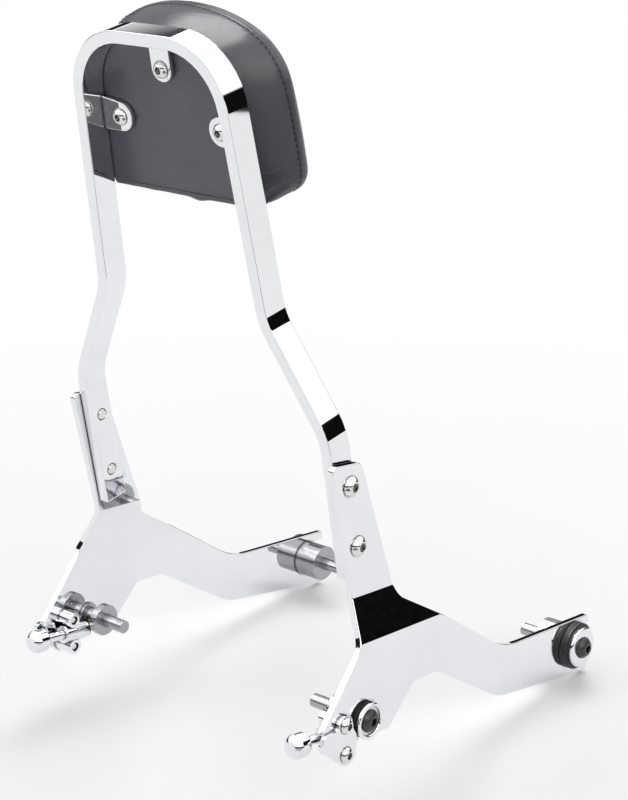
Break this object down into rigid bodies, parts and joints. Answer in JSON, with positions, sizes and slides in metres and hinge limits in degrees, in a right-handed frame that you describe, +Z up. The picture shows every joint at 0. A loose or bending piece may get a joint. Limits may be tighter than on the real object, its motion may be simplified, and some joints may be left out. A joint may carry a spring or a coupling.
{
  "type": "motorcycle backrest",
  "caption": "Detachable motorcycle backrest: chrome flat-bar hoop with a vinyl pad on bent side plates that dock on fixed studs and lock with spring pull pins.",
  "frame": {"origin": "middle of the rear docking axis, on the symmetry plane", "axes": "+X the vehicle's right side, +Y forward, +Z up"},
  "size_m": [0.3124, 0.3495, 0.5465],
  "materials": {
    "chrome": "polished chrome plate on steel",
    "stainless": "polished stainless screws",
    "vinyl": "charcoal vinyl, fine grain on the side wall",
    "foam": "moulded foam, hidden in the cover",
    "board": "plywood, hidden in the cover",
    "insert_steel": "zinc-plated threaded inserts, hidden",
    "black_rubber": "black bushings",
    "black_bolts": "black oxide bolts",
    "stud_steel": "turned steel studs",
    "guide_brass": "turned brass ring",
    "spring_steel": "spring wire"
  },
  "bodies": {
    "frame": {"hoop": "chrome", "top_tab": "chrome", "side_tab_left": "chrome", "side_tab_right": "chrome", "pad_cover": "vinyl", "pad_foam": "foam", "pad_board": "board", "pad_screw_top": "stainless", "pad_screw_left": "stainless", "pad_screw_right": "stainless", "pad_insert_top": "insert_steel", "pad_insert_left": "insert_steel", "pad_insert_right": "insert_steel", "side_plate_left": "chrome", "side_plate_right": "chrome", "plate_screw_upper_left": "stainless", "plate_screw_upper_right": "stainless", "plate_screw_lower_left": "stainless", "plate_screw_lower_right": "stainless", "front_stud_left": "stud_steel", "front_stud_right": "stud_steel", "front_bushing_left": "black_rubber", "front_bushing_right": "black_rubber", "front_washer_left": "chrome", "front_washer_right": "chrome", "front_bolt_left": "black_bolts", "front_bolt_right": "black_bolts", "rear_stud_left": "stud_steel", "rear_stud_right": "stud_steel", "rear_bushing_left": "black_rubber", "rear_bushing_right": "black_rubber", "rear_cup_left": "chrome", "rear_cup_right": "chrome", "rear_bolt_left": "black_bolts", "rear_bolt_right": "black_bolts", "latch_bracket_left": "chrome", "latch_bracket_right": "chrome", "latch_housing_left": "chrome", "latch_housing_right": "chrome", "latch_guide_left": "guide_brass", "latch_guide_right": "guide_brass", "latch_spring_left": "spring_steel", "latch_spring_right": "spring_steel", "latch_screw_upper_left": "stainless", "latch_screw_upper_right": "stainless", "latch_screw_lower_left": "stainless", "latch_screw_lower_right": "stainless"},
    "pull_pin_right": {"latch_pin_right": "chrome", "latch_knob_right": "chrome"},
    "pull_pin_left": {"latch_pin_left": "chrome", "latch_knob_left": "chrome"}
  },
  "joints": [
    {"name": "pull_right", "type": "slide", "parent": "frame", "child": "pull_pin_right", "axis": [0, -0.9914, 0.1305], "range_m": [0, 0.0095], "stiffness_N_per_m": 1200, "springref_m": -0.004, "deforming": ["latch_spring_right"]},
    {"name": "pull_left", "type": "slide", "parent": "frame", "child": "pull_pin_left", "axis": [0, -0.9914, 0.1305], "range_m": [0, 0.0095], "stiffness_N_per_m": 1200, "springref_m": -0.004, "deforming": ["latch_spring_left"]}
  ]
}
